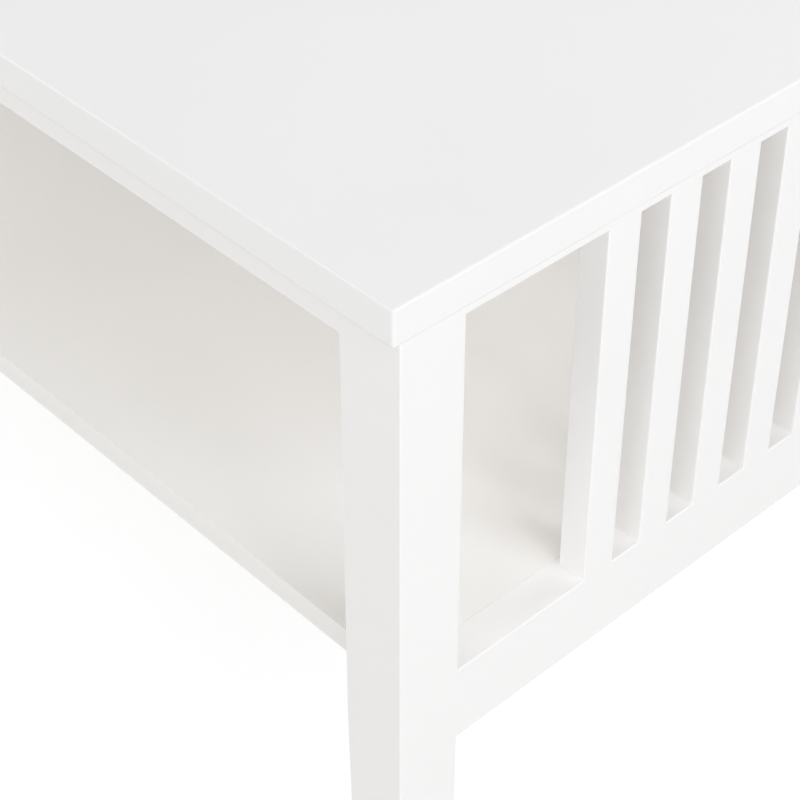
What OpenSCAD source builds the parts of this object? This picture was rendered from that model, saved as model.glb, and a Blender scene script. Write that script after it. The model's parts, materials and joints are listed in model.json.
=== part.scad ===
// White painted coffee table with an open shelf and slatted ends.
// Lengths are in millimetres. X runs along the table, Y from front to back and Z up.
// The origin is on the floor, under the middle of the top.

/* [Overall] */
// Length of the top, end to end
table_l = 1100; // [800:10:1400]
// Height from the floor to the upper face of the top
table_h = 450; // [400:5:600]

/* [Top] */
// Thickness of the top board
top_t = 21.5; // [18:0.5:30]
// How far the top runs past the legs at each end
top_over_end = 2; // [0:0.5:30]
// How far the top runs past the legs at the front and the back
top_over_front = 6; // [0:0.5:30]
// Radius of the eased edges of the top
top_edge_r = 2; // [0.5:0.25:4]

/* [Legs] */
// Side of the square leg
leg_w = 40; // [37:1:60]
// Width left at the foot, where the face towards the middle has tapered in
leg_foot_w = 36.5; // [30:0.5:36.5]
// Height above the floor at which that taper starts
leg_taper_h = 160; // [60:5:160]
// Radius of the eased edges of legs, slats and rails
edge_r = 1; // [0.25:0.25:2]

/* [Slatted ends] */
// Number of slats in each end
slat_count = 8; // [4:1:9]
// Width of a slat
slat_w = 22.5; // [16:0.5:32]
// Thickness of a slat
slat_t = 18; // [14:0.5:20]
// Clear gap between two slats
slat_gap = 21; // [14:0.5:40]
// Clear gap between a leg and the nearest slat
first_gap = 92; // [40:0.5:140]
// Clear height between the two rails of an end
end_opening_h = 226; // [150:1:260]
// Height of the thin upper rail of an end
end_top_rail_h = 5.5; // [5:0.5:12]
// Height of the deep lower rail of an end
end_bottom_rail_h = 50; // [44:1:70]
// Thickness of both rails of an end
end_rail_t = 22; // [21:0.5:26]

/* [Long rails] */
// Height of the front and back rails under the top, which are as wide as the legs
long_rail_h = 17.5; // [17:0.5:30]

/* [Shelf] */
// Thickness of the shelf board
shelf_t = 15.5; // [14:0.5:22]
// How far the shelf's front and back edges lie behind the legs' outer faces
shelf_setback = 17; // [5:1:34]
// Joint left between the shelf and the end rails and legs
shelf_joint = 0.3; // [0.3:0.1:2]
// Side of the square cleats that carry the shelf
cleat_w = 18; // [16:1:22]
// Height of the batten under the middle of the shelf
batten_h = 30; // [24:1:40]
// Thickness of that batten
batten_t = 18; // [16:1:30]

/* [Joinery] */
// Thickness of the tenons on the lower end rails
tenon_t = 8; // [6:0.5:10]
// Wood left in the leg between those tenons and its outer face
tenon_cover = 15; // [10:1:22]
// Shoulder above and below each tenon
tenon_shoulder = 6; // [4:0.5:10]
// Width of the tongues that let the upper end rails into the legs
tongue_w = 10; // [9:0.5:12]
// Length of those tongues
tongue_l = 18; // [14:1:20]
// Diameter of the wooden dowels
dowel_d = 8; // [6:0.5:8]
// Length of the dowels in the slats and the long rails
dowel_l = 30; // [20:1:36]
// Length of the dowels that place the top on the legs
top_dowel_l = 25; // [16:1:26]

/* [Metal fittings] */
// Shank diameter of the small screws
screw_d = 3.5; // [3:0.5:4]
// Head diameter of the small screws
screw_head_d = 7; // [6:0.5:8]
// Length of the screws through the upper end rails
slat_screw_l = 32; // [20:1:40]
// Length of the screws that hold the upper end rails' tongues
tongue_screw_l = 25; // [16:1:30]
// Length of the screws through the long rails into the top
top_screw_l = 30; // [24:1:32]
// Length of the screws that fix the cleats to the end rails
cleat_screw_l = 30; // [24:1:34]
// Length of the screws through the cleats into the shelf
shelf_screw_l = 28; // [22:1:30]
// Length of the screws through the batten into the shelf
batten_screw_l = 40; // [34:1:42]
// Diameter of the cam nuts in the long rails
cam_d = 15; // [12:0.5:16]
// Height of a cam nut
cam_h = 12.5; // [10:0.5:13]
// Distance from a long rail's end to the middle of its cam nut
cam_back = 24; // [18:1:34]
// Neck diameter of the cam bolts
cam_bolt_d = 7; // [5:0.5:7]

/* [Feet] */
// Diameter of the plastic glide under a leg
glide_d = 22; // [14:1:28]
// Thickness of that glide
glide_t = 3; // [2:0.5:6]
// Diameter of the pin that holds the glide
glide_pin_d = 4; // [3:0.5:6]
// Length of that pin
glide_pin_l = 16; // [10:1:24]

/* [Hidden] */
// Clearance on each side of a tenon, tongue, dowel, screw or pin
fit = 0.15;
// Room left past the end of a blind tenon, dowel or screw, and of a cleat
end_room = 1;
// Overrun of every cut past the face that it opens
overrun = 1;
// Facets of a full circle
$fn = 40;

// Length over the outer faces of the legs
frame_l = table_l - 2 * top_over_end;
// Room across the end frame that the slats and the gaps between them take
slats_d = slat_count * slat_w + (slat_count - 1) * slat_gap;
// Depth over the outer faces of the legs
frame_d = 2 * (leg_w + first_gap) + slats_d;
// Depth of the top
top_d = frame_d + 2 * top_over_front;
// Height of the top's underside, which is the top of the legs
top_z = table_h - top_t;
// Lower edge of the upper end rails
end_rail_z = top_z - end_top_rail_h;
// Upper edge of the lower end rails, level with the shelf's upper face
rail_z = end_rail_z - end_opening_h;
// Lower edge of the lower end rails
rail_under_z = rail_z - end_bottom_rail_h;
// Underside of the shelf
shelf_z = rail_z - shelf_t;
// Lower edge of the long rails
long_rail_z = top_z - long_rail_h;
// Clear length between the legs along the front
span_l = frame_l - 2 * leg_w;
// Clear depth between the legs along an end
span_d = frame_d - 2 * leg_w;
// Middle of the tenons, measured in from the outer face
tenon_x = end_rail_t / 2;
// Length and height of the tenons
tenon_l = leg_w - tenon_cover;
tenon_h = end_bottom_rail_h - 2 * tenon_shoulder;
// Middle of the slats' dowels and screws, measured in from the outer face
slat_x = slat_t / 2;
// Inner face of a cleat, measured in from the outer face of the end
cleat_in_x = end_rail_t + cleat_w;
// Length of a cleat, with its clearance to each leg
cleat_l = span_d - 2 * end_room;
// Places of the two dowels across the end of a long rail, as shares of the leg's side
rail_dowel_shares = [0.25, 0.75];
// Place of the top's dowel on a leg, as shares of the leg's side along X and Y
top_dowel_shares = [0.31, 0.25];
// Places of the top's screws along a long rail, as shares of its length from the middle
top_screw_shares = [-0.36, 0, 0.36];
// Places of the screws from a cleat into its rail, as shares of the cleat's length
cleat_screw_shares = [-0.42, -0.14, 0.14, 0.42];
// Places of the screws from a cleat into the shelf, as shares of the cleat's length
shelf_screw_shares = [-0.3, 0, 0.3];
// Places of the batten's screws, as shares of its length from the middle
batten_screw_shares = [-0.4, -0.13, 0.13, 0.4];
// Width, length and depth of a cross recess, as shares of the diameter of its screw or cam
recess_width_share = 0.14;
recess_length_share = 0.6;
recess_depth_share = 0.2;
// Depth of the cam bolt's thread in the leg
cam_bolt_thread_l = 11;
// Diameter and height of the cam bolt's head
cam_bolt_head_d = cam_bolt_d;
cam_bolt_head_l = 3;
// Diameter of the neck that the cam takes hold of
cam_bolt_neck_d = cam_bolt_d / 2;
// Width of the slot in the cam nut's side, which passes the bolt's head
cam_slot_w = cam_bolt_head_d + 4 * fit;
// Chamfer at the ends of a dowel
dowel_chamfer = dowel_d / 8;

// The four corners and the two ends, as signs of X and Y
corners = [
    ["leg_front_right", 1, -1], ["leg_front_left", -1, -1],
    ["leg_back_right", 1, 1], ["leg_back_left", -1, 1]
];
glides = [
    ["glide_front_right", 1, -1], ["glide_front_left", -1, -1],
    ["glide_back_right", 1, 1], ["glide_back_left", -1, 1]
];
ends = [["right", 1], ["left", -1]];
sides = [["front", -1], ["back", 1]];

function slat_name(end, i) = str(end, "_slat_", i);
// Y of the middle of slat i, counted from the front
function slat_y(i) = (leg_w + first_gap) + (i - 1) * (slat_w + slat_gap) + slat_w / 2 - frame_d / 2;

// Every piece's name, in the order in which they are drawn

// Turns a shape over across X or Y when on is true
module flip_x(on) {
    if (on) mirror([1, 0, 0]) children();
    else children();
}
module flip_y(on) {
    if (on) mirror([0, 1, 0]) children();
    else children();
}

// Local frame of a corner: X and Y run inwards from the leg's outer faces
module at_corner(sx, sy) {
    translate([sx * frame_l / 2, sy * frame_d / 2, 0])
        flip_x(sx > 0) flip_y(sy > 0) children();
}
// Local frame of an end: X runs inwards from the outer face
module at_end(sx) translate([sx * frame_l / 2, 0, 0]) flip_x(sx > 0) children();
// Local frame of a long side: Y runs inwards from the outer face
module at_side(sy) translate([0, sy * frame_d / 2, 0]) flip_y(sy > 0) children();

// Rectangle with rounded corners
module rounded_rect(lx, ly, r) {
    translate([r, 0]) square([lx - 2 * r, ly]);
    translate([0, r]) square([lx, ly - 2 * r]);
    for (x = [r, lx - r], y = [r, ly - r]) translate([x, y]) circle(r);
}
// Rectangle whose two lower corners alone are rounded
module rounded_below(lx, ly, r) {
    rounded_rect(lx, ly, r);
    translate([0, ly / 2]) square([lx, ly / 2]);
}
// Board with all twelve edges eased, from its lower front left corner
module eased_board(lx, ly, t, r) {
    intersection() {
        linear_extrude(t) rounded_rect(lx, ly, r);
        translate([0, ly, 0]) rotate([90, 0, 0]) linear_extrude(ly) rounded_rect(lx, t, r);
        rotate([90, 0, 90]) linear_extrude(lx) rounded_rect(ly, t, r);
    }
}
// Carries a profile along +X or +Y
module along_x(l) rotate([90, 0, 90]) linear_extrude(l) children();
module along_y(l) translate([0, l, 0]) rotate([90, 0, 0]) linear_extrude(l) children();

// Blind bore for a dowel or bolt of diameter d, down into -Z from the origin
module bore(d, depth) {
    translate([0, 0, -depth]) cylinder(d = d + 2 * fit, h = depth + overrun);
}
// Wooden dowel with chamfered ends, centred on the origin along Z
module dowel(d, l) {
    rotate_extrude() polygon([
        [0, -l / 2], [d / 2 - dowel_chamfer, -l / 2], [d / 2, dowel_chamfer - l / 2],
        [d / 2, l / 2 - dowel_chamfer], [d / 2 - dowel_chamfer, l / 2], [0, l / 2]
    ]);
}
// Countersunk screw with its head's face at the origin and its point down
module screw(l) {
    head_h = (screw_head_d - screw_d) / 2;
    recess_w = screw_head_d * recess_width_share;
    recess_l = screw_head_d * recess_length_share;
    recess_h = screw_head_d * recess_depth_share;
    difference() {
        rotate_extrude() polygon([
            [0, 0], [screw_head_d / 2, 0], [screw_d / 2, -head_h],
            [screw_d / 2, screw_d - l], [0, -l]
        ]);
        for (a = [0, 90]) rotate([0, 0, a])
            translate([-recess_l / 2, -recess_w / 2, -recess_h])
                cube([recess_l, recess_w, recess_h + overrun]);
    }
}
// Countersunk hole that clears such a screw by the fit
module screw_hole(l) {
    head_h = (screw_head_d - screw_d) / 2;
    rotate_extrude() polygon([
        [0, overrun], [screw_head_d / 2 + fit, overrun], [screw_head_d / 2 + fit, 0],
        [screw_d / 2 + fit, -head_h], [screw_d / 2 + fit, -l - end_room], [0, -l - end_room]
    ]);
}

// Places of the slats' dowels at the top of the lower rail, in an end's frame
module at_slat_dowels(first, last) {
    for (i = [first : last]) translate([slat_x, slat_y(i), rail_z]) children();
}
// Places of the slats' screws at the top of the upper rail, in an end's frame
module at_slat_screws(first, last) {
    for (i = [first : last]) translate([slat_x, slat_y(i), top_z]) children();
}
// Place of the screw in an upper end rail's tongue, in a corner's frame
module at_tongue_screw() translate([tenon_x, leg_w - tongue_l / 2, top_z]) children();
// Place of the top's dowel, in a corner's frame
module at_top_dowel() {
    translate([leg_w * top_dowel_shares[0], leg_w * top_dowel_shares[1], top_z]) children();
}
// Places of a long rail's dowels at the leg's inner face, turned to lie along X
module at_rail_dowels() {
    for (share = rail_dowel_shares)
        translate([leg_w, leg_w * share, top_z - long_rail_h / 2]) rotate([0, 90, 0]) children();
}
// Place of the cam bolt at the leg's inner face, turned to lie along X
module at_cam_bolt() {
    translate([leg_w, leg_w / 2, top_z - long_rail_h / 2]) rotate([0, 90, 0]) children();
}
// Place of the cam nut at the long rail's underside, in a corner's frame
module at_cam_nut() translate([leg_w + cam_back, leg_w / 2, long_rail_z]) children();
// Places of the top's screws at a long rail's underside, in a side's frame, points up
module at_top_screws() {
    for (share = top_screw_shares)
        translate([span_l * share, leg_w / 2, long_rail_z]) rotate([180, 0, 0]) children();
}
// Places of the screws from a cleat into its rail, in an end's frame
module at_cleat_screws() {
    for (share = cleat_screw_shares)
        translate([cleat_in_x, cleat_l * share, shelf_z - cleat_w / 2]) rotate([0, 90, 0]) children();
}
// Places of the screws from a cleat up into the shelf, in an end's frame
module at_shelf_screws() {
    for (share = shelf_screw_shares)
        translate([end_rail_t + cleat_w / 2, cleat_l * share, shelf_z - cleat_w])
            rotate([180, 0, 0]) children();
}
// Places of the screws from the batten up into the shelf
module at_batten_screws() {
    batten_l = frame_l - 2 * cleat_in_x;
    for (share = batten_screw_shares)
        translate([batten_l * share, 0, shelf_z - batten_h]) rotate([180, 0, 0]) children();
}

// The top board, with the blind holes in its underside
module top_panel() {
    color("white") difference() {
        translate([-table_l / 2, -top_d / 2, top_z]) eased_board(table_l, top_d, top_t, top_edge_r);
        for (c = corners) at_corner(c[1], c[2]) at_top_dowel()
            rotate([180, 0, 0]) bore(dowel_d, top_dowel_l / 2 + end_room);
        for (s = sides) at_side(s[1]) at_top_screws() screw_hole(top_screw_l);
    }
}

// Square leg whose face towards the middle tapers in below leg_taper_h. Its straight and its
// tapered stretch meet in the plane that halves the bend, so the eased edges run on unbroken.
// Those edges are three narrow flats each, which meet in straight lines at the bend.
module leg_blank() {
    $fn = 12;
    foot_l = leg_taper_h - glide_t;
    bend = atan((leg_w - leg_foot_w) / foot_l);
    intersection() {
        translate([0, 0, glide_t]) linear_extrude(top_z - glide_t) rounded_rect(leg_w, leg_w, edge_r);
        past_bend(bend / 2) cube([2 * leg_w, leg_w, top_z]);
    }
    intersection() {
        translate([0, 0, glide_t]) linear_extrude(top_z) rounded_rect(2 * leg_w, leg_w, edge_r);
        past_bend(bend / 2) mirror([0, 0, 1]) cube([2 * leg_w, leg_w, top_z]);
        past_bend(bend) translate([0, 0, -top_z]) linear_extrude(2 * top_z)
            rounded_rect(2 * leg_w, leg_w, edge_r);
    }
}
// Puts a block 2 * leg_w long against the line of the bend, turned by angle about that line
module past_bend(angle) {
    translate([leg_w, 0, leg_taper_h]) rotate([0, angle, 0]) translate([-2 * leg_w, 0, 0]) children();
}
module leg() {
    // The lower rail's mortise, the housing of the upper rail's tongue and the bores
    color("white") difference() {
        leg_blank();
        translate([
            tenon_x - tenon_t / 2 - fit, leg_w - tenon_l - end_room,
            rail_under_z + tenon_shoulder - fit
        ]) cube([tenon_t + 2 * fit, tenon_l + end_room + overrun, tenon_h + 2 * fit]);
        translate([tenon_x - tongue_w / 2 - fit, leg_w - tongue_l - end_room, end_rail_z])
            cube([tongue_w + 2 * fit, tongue_l + end_room + overrun, end_top_rail_h + overrun]);
        at_tongue_screw() screw_hole(tongue_screw_l);
        at_top_dowel() bore(dowel_d, top_dowel_l / 2 + end_room);
        at_rail_dowels() bore(dowel_d, dowel_l / 2 + end_room);
        at_cam_bolt() bore(cam_bolt_d, cam_bolt_thread_l + end_room);
        translate([leg_foot_w / 2, leg_w / 2, glide_t])
            rotate([180, 0, 0]) bore(glide_pin_d, glide_pin_l + end_room);
    }
}

// Front or back rail, laid flat under the top between two legs
module long_rail(sy) {
    color("white") difference() {
        at_side(sy) translate([-span_l / 2, 0, long_rail_z])
            along_x(span_l) rounded_below(leg_w, long_rail_h, edge_r);
        for (sx = [-1, 1]) at_corner(sx, sy) {
            at_rail_dowels() rotate([180, 0, 0]) bore(dowel_d, dowel_l / 2 + end_room);
            at_cam_bolt() rotate([180, 0, 0]) bore(cam_bolt_d, cam_back);
            at_cam_nut() rotate([180, 0, 0]) bore(cam_d, cam_h);
        }
        at_side(sy) at_top_screws() screw_hole(top_screw_l);
    }
}

// Thin upper rail of an end, with a tongue let into each leg
module end_top_rail(sx) {
    color("white") difference() {
        at_end(sx) {
            translate([0, -span_d / 2, end_rail_z]) cube([end_rail_t, span_d, end_top_rail_h]);
            translate([tenon_x - tongue_w / 2, -span_d / 2 - tongue_l, end_rail_z])
                cube([tongue_w, span_d + 2 * tongue_l, end_top_rail_h]);
        }
        at_end(sx) at_slat_screws(1, slat_count) screw_hole(slat_screw_l);
        for (sy = [-1, 1]) at_corner(sx, sy) at_tongue_screw() screw_hole(tongue_screw_l);
    }
}

// Deep lower rail of an end, with a tenon at each end and a bore under each slat
module end_bottom_rail(sx) {
    color("white") difference() {
        at_end(sx) {
            translate([0, -span_d / 2, rail_under_z])
                along_y(span_d) rounded_below(end_rail_t, end_bottom_rail_h, edge_r);
            translate([
                tenon_x - tenon_t / 2, -span_d / 2 - tenon_l, rail_under_z + tenon_shoulder
            ]) cube([tenon_t, span_d + 2 * tenon_l, tenon_h]);
        }
        at_end(sx) at_slat_dowels(1, slat_count) bore(dowel_d, dowel_l / 2 + end_room);
        at_end(sx) at_cleat_screws() screw_hole(cleat_screw_l);
    }
}

// One slat, flush with the outer face of the end, bored for its dowel and its screw
module slat(sx, i) {
    color("white") difference() {
        at_end(sx) translate([0, slat_y(i) - slat_w / 2, rail_z])
            linear_extrude(end_opening_h) rounded_rect(slat_t, slat_w, edge_r);
        at_end(sx) at_slat_dowels(i, i) rotate([180, 0, 0]) bore(dowel_d, dowel_l / 2 + end_room);
        at_end(sx) at_slat_screws(i, i) screw_hole(slat_screw_l);
    }
}

// Shelf board, level with the lower rails and notched round the four legs
module shelf_panel() {
    shelf_l = frame_l - 2 * (end_rail_t + shelf_joint);
    shelf_d = frame_d - 2 * shelf_setback;
    notch = leg_w + shelf_joint;
    color("white") difference() {
        translate([-shelf_l / 2, -shelf_d / 2, shelf_z])
            along_x(shelf_l) rounded_rect(shelf_d, shelf_t, edge_r);
        for (c = corners) at_corner(c[1], c[2])
            translate([-overrun, -overrun, shelf_z - overrun])
                cube([notch + overrun, notch + overrun, shelf_t + 2 * overrun]);
        for (e = ends) at_end(e[1]) at_shelf_screws() screw_hole(shelf_screw_l);
        at_batten_screws() screw_hole(batten_screw_l);
    }
}

// Cleat on the inner face of a lower rail, which carries one end of the shelf
module shelf_cleat(sx) {
    color("white") difference() {
        at_end(sx) translate([end_rail_t, -cleat_l / 2, shelf_z - cleat_w])
            cube([cleat_w, cleat_l, cleat_w]);
        at_end(sx) at_cleat_screws() screw_hole(cleat_screw_l);
        at_end(sx) at_shelf_screws() screw_hole(shelf_screw_l);
    }
}

// Batten on edge under the middle of the shelf, from cleat to cleat
module shelf_batten() {
    batten_l = frame_l - 2 * cleat_in_x;
    color("white") difference() {
        translate([-batten_l / 2, -batten_t / 2, shelf_z - batten_h])
            along_x(batten_l) rounded_below(batten_t, batten_h, edge_r);
        at_batten_screws() screw_hole(batten_screw_l);
    }
}

// Plastic glide with its pin, under the middle of a foot
module glide() {
    color("gainsboro") translate([leg_foot_w / 2, leg_w / 2, 0]) {
        rotate_extrude() polygon([
            [0, 0], [glide_d / 2 - glide_t / 2, 0], [glide_d / 2, glide_t / 2],
            [glide_d / 2, glide_t], [glide_pin_d / 2, glide_t],
            [glide_pin_d / 2, glide_t + glide_pin_l - glide_pin_d / 2], [0, glide_t + glide_pin_l]
        ]);
    }
}

// Cam bolt along Z from the leg's inner face: thread below, then the stem, neck and head
module cam_bolt() {
    neck_start = cam_back - cam_d / 2;
    neck_end = cam_back - cam_bolt_head_l / 2;
    rotate_extrude() polygon([
        [0, -cam_bolt_thread_l], [cam_bolt_d / 2, -cam_bolt_thread_l],
        [cam_bolt_d / 2, neck_start], [cam_bolt_neck_d / 2, neck_start],
        [cam_bolt_neck_d / 2, neck_end], [cam_bolt_head_d / 2, neck_end],
        [cam_bolt_head_d / 2, neck_end + cam_bolt_head_l], [0, neck_end + cam_bolt_head_l]
    ]);
}
// Cam nut from its open face up, slotted from one side past the bolt's head and out at the top
module cam_nut() {
    recess_w = cam_d * recess_width_share;
    recess_l = cam_d * recess_length_share;
    recess_h = cam_d * recess_depth_share / 2;
    slot_z = long_rail_h / 2 - cam_slot_w / 2;
    difference() {
        cylinder(d = cam_d, h = cam_h);
        translate([-cam_d, -cam_slot_w / 2, slot_z])
            cube([cam_d + cam_bolt_head_l, cam_slot_w, cam_h - slot_z + overrun]);
        for (a = [0, 90]) rotate([0, 0, a])
            translate([-recess_l / 2, -recess_w / 2, -overrun])
                cube([recess_l, recess_w, recess_h + overrun]);
    }
}

module slat_dowels(sx) {
    color("burlywood") at_end(sx) at_slat_dowels(1, slat_count) dowel(dowel_d, dowel_l);
}
module slat_screws(sx) {
    color("silver") at_end(sx) at_slat_screws(1, slat_count) screw(slat_screw_l);
}
module rail_dowels() {
    color("burlywood") for (c = corners) at_corner(c[1], c[2]) at_rail_dowels() dowel(dowel_d, dowel_l);
}
module top_dowels() {
    color("burlywood") for (c = corners) at_corner(c[1], c[2]) at_top_dowel() dowel(dowel_d, top_dowel_l);
}
module cam_bolts() {
    color("silver") for (c = corners) at_corner(c[1], c[2]) at_cam_bolt() cam_bolt();
}
module cam_nuts() {
    color("darkgray") for (c = corners) at_corner(c[1], c[2]) at_cam_nut() cam_nut();
}
module tongue_screws() {
    color("silver") for (c = corners) at_corner(c[1], c[2]) at_tongue_screw() screw(tongue_screw_l);
}
module top_screws() {
    color("silver") for (s = sides) at_side(s[1]) at_top_screws() screw(top_screw_l);
}
module cleat_screws() {
    color("silver") for (e = ends) at_end(e[1]) at_cleat_screws() screw(cleat_screw_l);
}
module shelf_screws() {
    color("silver") for (e = ends) at_end(e[1]) at_shelf_screws() screw(shelf_screw_l);
}
module batten_screws() {
    color("silver") at_batten_screws() screw(batten_screw_l);
}

top_panel();
for (c = corners)
    at_corner(c[1], c[2]) leg();
for (s = sides)
    long_rail(s[1]);
for (e = ends)
    end_top_rail(e[1]);
for (e = ends)
    end_bottom_rail(e[1]);
for (e = ends, i = [1 : slat_count])
    slat(e[1], i);
shelf_panel();
for (e = ends)
    shelf_cleat(e[1]);
shelf_batten();
for (g = glides)
    at_corner(g[1], g[2]) glide();
for (e = ends)
    slat_dowels(e[1]);
for (e = ends)
    slat_screws(e[1]);
rail_dowels();
top_dowels();
cam_bolts();
cam_nuts();
tongue_screws();
top_screws();
cleat_screws();
shelf_screws();
batten_screws();
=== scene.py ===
"""White painted coffee table with slatted ends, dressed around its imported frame."""

import json
import math

import bmesh
import bpy
import numpy as np
from bpy.props import FloatProperty, FloatVectorProperty, IntProperty, PointerProperty
from bpy.types import Operator, Panel, PropertyGroup
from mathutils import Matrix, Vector


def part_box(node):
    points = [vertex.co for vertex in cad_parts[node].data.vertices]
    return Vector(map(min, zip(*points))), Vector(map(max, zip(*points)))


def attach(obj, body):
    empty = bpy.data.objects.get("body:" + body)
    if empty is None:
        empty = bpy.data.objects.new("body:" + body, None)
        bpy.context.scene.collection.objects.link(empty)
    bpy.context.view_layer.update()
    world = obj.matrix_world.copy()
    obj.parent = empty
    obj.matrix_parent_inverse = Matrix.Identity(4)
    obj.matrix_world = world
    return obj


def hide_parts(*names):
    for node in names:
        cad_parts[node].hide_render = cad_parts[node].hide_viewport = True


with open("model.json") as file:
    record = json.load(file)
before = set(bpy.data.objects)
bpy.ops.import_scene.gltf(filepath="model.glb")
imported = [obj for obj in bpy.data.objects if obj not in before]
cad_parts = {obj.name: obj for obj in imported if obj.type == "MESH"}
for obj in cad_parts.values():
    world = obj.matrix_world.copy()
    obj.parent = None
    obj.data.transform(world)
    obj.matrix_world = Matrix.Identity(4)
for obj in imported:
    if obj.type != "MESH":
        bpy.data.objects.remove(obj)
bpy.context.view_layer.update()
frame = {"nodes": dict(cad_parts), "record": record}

bl_info = {
    "name": "Slatted Coffee Table",
    "version": (1, 0, 0),
    "blender": (4, 5, 0),
    "location": "3D View > Sidebar > Table",
    "description": "Boards, fittings, paint and studio for a white coffee table with slatted ends",
    "category": "Object",
}

BODY = "root"
X, Y, Z = 0, 1, 2
SLOT_OF = {row["node"]: row["material_slot"] for row in frame["record"]["subparts"]}
COLOUR_OF = {row["slot"]: row["base_color"] for row in frame["record"]["materials"]}
ENDS = ("right", "left")
LEGS = tuple(name for name in SLOT_OF if name.startswith("leg_"))
GLIDES = tuple(name for name in SLOT_OF if name.startswith("glide_"))
SLATS = tuple(name for name in SLOT_OF if "_slat_" in name and name[-1].isdigit())
DOWELS = tuple(name for name in SLOT_OF if name.endswith("_dowels"))
# Axis and outward sign of each node's screw heads, with no sign where they face the middle
SCREW_HEADS = {
    "right_slat_screws": (Z, 1), "left_slat_screws": (Z, 1), "tongue_screws": (Z, 1),
    "top_screws": (Z, -1), "shelf_screws": (Z, -1), "batten_screws": (Z, -1),
    "cleat_screws": (X, 0),
}
PLACE_DIGITS = 6
WELD_DISTANCE = 1e-7
SHARP_ANGLE = math.radians(35)
RINGS_PER_TURN = 6
SENSOR_WIDTH = 36
WHITE = (1, 1, 1, 1)
# What the floor throws on the table, and how it is seen: a shade that takes shadows, and a glow
FLOOR_BOUNCE, FLOOR_SHADE, FLOOR_GLOW = (0.7, 0.69, 0.67, 1), (0.3, 0.3, 0.3, 1), 0.765
DAYLIGHT, NEUTRAL = (0.95, 0.985, 1.05), (0.985, 1.0, 1.0)
# Each lamp's heading from the front round by the right and its height, in degrees, and colour
LAMPS = {
    "key": (90, 40, DAYLIGHT), "right": (60, 25, NEUTRAL), "front": (20, 12, DAYLIGHT),
    "corner": (300, 25, NEUTRAL), "left": (285, 12, NEUTRAL), "back": (180, 20, NEUTRAL),
}


# Sizes and colours

class BoardProps(PropertyGroup):
    """Sizes of the boards that the frame's boxes don't give."""
    edge_radius: FloatProperty(
        name="Edge radius", description="Radius of the eased edges of rails and slats",
        default=0.001, unit="LENGTH")
    leg_radius: FloatProperty(
        name="Leg's edge radius", description="Radius of the eased edges of the legs",
        default=0.0012, unit="LENGTH")
    joint_radius: FloatProperty(
        name="Joint's edge radius", description="Radius of the edges that meet in a tight joint",
        default=0.0004, unit="LENGTH")
    top_radius: FloatProperty(
        name="Top's edge radius", description="Radius of the top's upper edges",
        default=0.0015, unit="LENGTH")
    lower_radius: FloatProperty(
        name="Top's lower radius", description="Radius of the top's lower edges and its corners",
        default=0.0022, unit="LENGTH")
    edge_steps: IntProperty(
        name="Edge steps", description="Facets across an eased edge", default=6, min=1)
    joint_fill: FloatProperty(
        name="Joint fill", default=0.0014, unit="LENGTH",
        description="How far boards run into each other where paint fills their joint")
    foot_width: FloatProperty(
        name="Foot width", description="Width left at a leg's foot by the taper of its inner face",
        default=0.0365, unit="LENGTH")
    taper_height: FloatProperty(
        name="Taper height", description="Height at which that taper starts",
        default=0.16, unit="LENGTH")
    tenon_thickness: FloatProperty(
        name="Tenon thickness", description="Thickness of the lower end rails' tenons",
        default=0.008, unit="LENGTH")
    tenon_shoulder: FloatProperty(
        name="Tenon shoulder", description="Wood above and below each of those tenons",
        default=0.006, unit="LENGTH")
    tongue_width: FloatProperty(
        name="Tongue width", description="Width of the upper end rails' tongues",
        default=0.010, unit="LENGTH")


class FittingProps(PropertyGroup):
    """Sizes of the dowels, screws, cams and glides that the frame's boxes don't give."""
    clearance: FloatProperty(
        name="Clearance", description="Room round a fitting in its bore",
        default=0.00015, unit="LENGTH")
    end_room: FloatProperty(
        name="End room", description="Room past the end of a blind fitting",
        default=0.001, unit="LENGTH")
    round_steps: IntProperty(
        name="Round steps", description="Facets round a fitting", default=24, min=8)
    shank_radius: FloatProperty(
        name="Shank radius", description="Outer radius of the screws' thread",
        default=0.00175, unit="LENGTH")
    thread_pitch: FloatProperty(
        name="Thread pitch", description="Distance between two turns of a screw's thread",
        default=0.0016, unit="LENGTH")
    thread_depth: FloatProperty(
        name="Thread depth", description="Height of the thread over its core",
        default=0.0005, unit="LENGTH")
    flute_count: IntProperty(
        name="Flutes", description="Grooves round a dowel", default=12, min=3)
    flute_depth: FloatProperty(
        name="Flute depth", description="Depth of those grooves", default=0.0003, unit="LENGTH")
    neck_radius: FloatProperty(
        name="Neck radius", description="Radius of a cam bolt's neck",
        default=0.00175, unit="LENGTH")
    head_length: FloatProperty(
        name="Head length", description="Length of a cam bolt's head",
        default=0.003, unit="LENGTH")
    glide_height: FloatProperty(
        name="Glide height", description="Height of a glide under its foot",
        default=0.003, unit="LENGTH")
    pin_radius: FloatProperty(
        name="Pin radius", description="Radius of a glide's pin", default=0.002, unit="LENGTH")


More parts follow.
